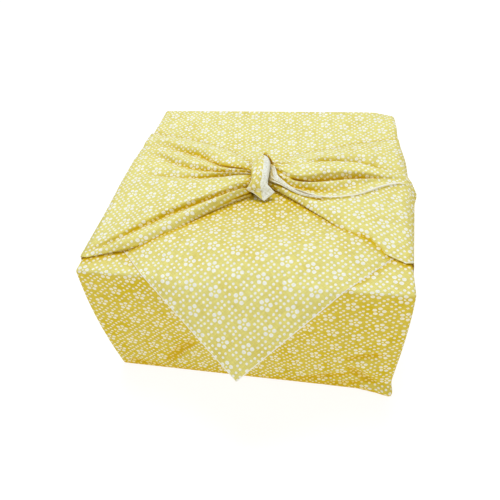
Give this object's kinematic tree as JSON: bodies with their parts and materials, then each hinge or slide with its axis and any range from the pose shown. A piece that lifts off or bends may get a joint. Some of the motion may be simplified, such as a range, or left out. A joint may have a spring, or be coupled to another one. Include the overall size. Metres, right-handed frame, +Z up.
{
  "type": "furoshiki wrap",
  "caption": "Square printed cotton cloth wrapped round a box, its side corners pleated over the top and tied in a knot, its far corner hanging over the front.",
  "frame": {"origin": "centre of the box's footprint on the flat underside, on the surface it stands on", "axes": "+Z up; -Y towards the front face, over which the free corner hangs; +X to the right as seen from the front"},
  "size_m": [0.2221, 0.2437, 0.1325],
  "materials": {
    "printed_cotton": "matte"
  },
  "bodies": {
    "root": {"furoshiki": "printed_cotton"}
  },
  "joints": []
}
